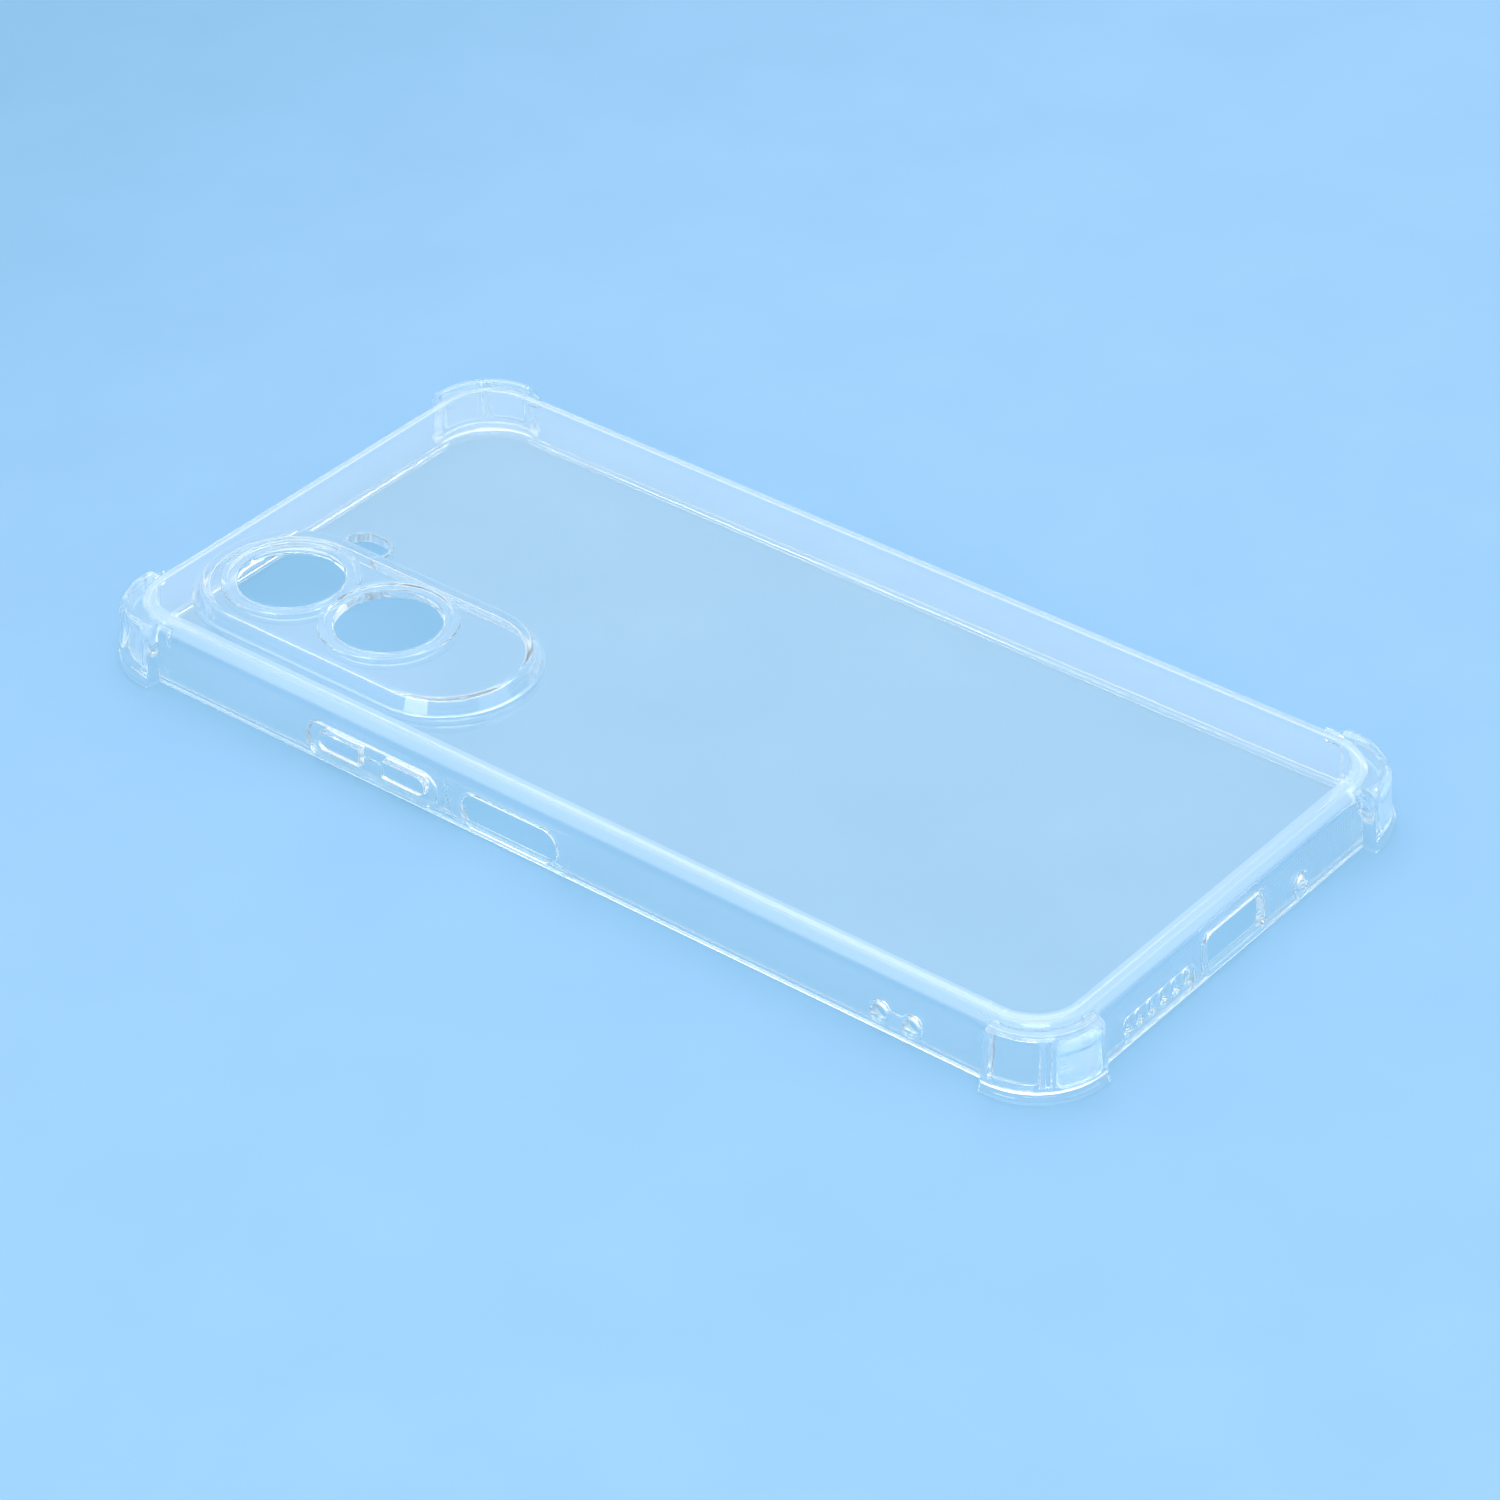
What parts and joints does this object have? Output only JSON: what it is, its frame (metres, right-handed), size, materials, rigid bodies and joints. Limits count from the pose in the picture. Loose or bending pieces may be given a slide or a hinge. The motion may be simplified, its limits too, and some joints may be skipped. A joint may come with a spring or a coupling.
{
  "type": "phone case",
  "caption": "Clear flexible phone case with cushioned corners, a raised camera island, pressable volume keys and cut-outs for the ports.",
  "frame": {"origin": "centre of the front rim's plane, below the middle of the back", "axes": "+Z out of the back, +Y towards the camera island's end, -X towards the long side with the volume keys"},
  "size_m": [0.0846, 0.1686, 0.0129],
  "materials": {
    "clear_tpu": "clear glossy flexible polyurethane",
    "clear_tpu_dotted": "clear flexible polyurethane with a fine dot texture inside"
  },
  "bodies": {
    "case": {"back_panel": "clear_tpu", "camera_island": "clear_tpu", "upper_lens_ring": "clear_tpu", "lower_lens_ring": "clear_tpu", "flash_window_rim": "clear_tpu", "front_lip": "clear_tpu", "left_wall": "clear_tpu_dotted", "right_wall": "clear_tpu_dotted", "top_wall": "clear_tpu_dotted", "bottom_wall": "clear_tpu_dotted", "top_left_bumper": "clear_tpu", "top_right_bumper": "clear_tpu", "bottom_left_bumper": "clear_tpu", "bottom_right_bumper": "clear_tpu", "volume_surround": "clear_tpu", "volume_membrane": "clear_tpu", "power_cutout_frame": "clear_tpu", "lanyard_boss": "clear_tpu", "speaker_grille": "clear_tpu", "usb_port_frame": "clear_tpu", "microphone_port": "clear_tpu"},
    "volume_up": {"volume_up_key": "clear_tpu"},
    "volume_down": {"volume_down_key": "clear_tpu"}
  },
  "joints": [
    {"name": "volume_up_press", "type": "slide", "parent": "case", "child": "volume_up", "axis": [1, 0, 0], "range_m": [0, 0.0004], "stiffness_N_per_m": 3000},
    {"name": "volume_down_press", "type": "slide", "parent": "case", "child": "volume_down", "axis": [1, 0, 0], "range_m": [0, 0.0004], "stiffness_N_per_m": 3000}
  ]
}
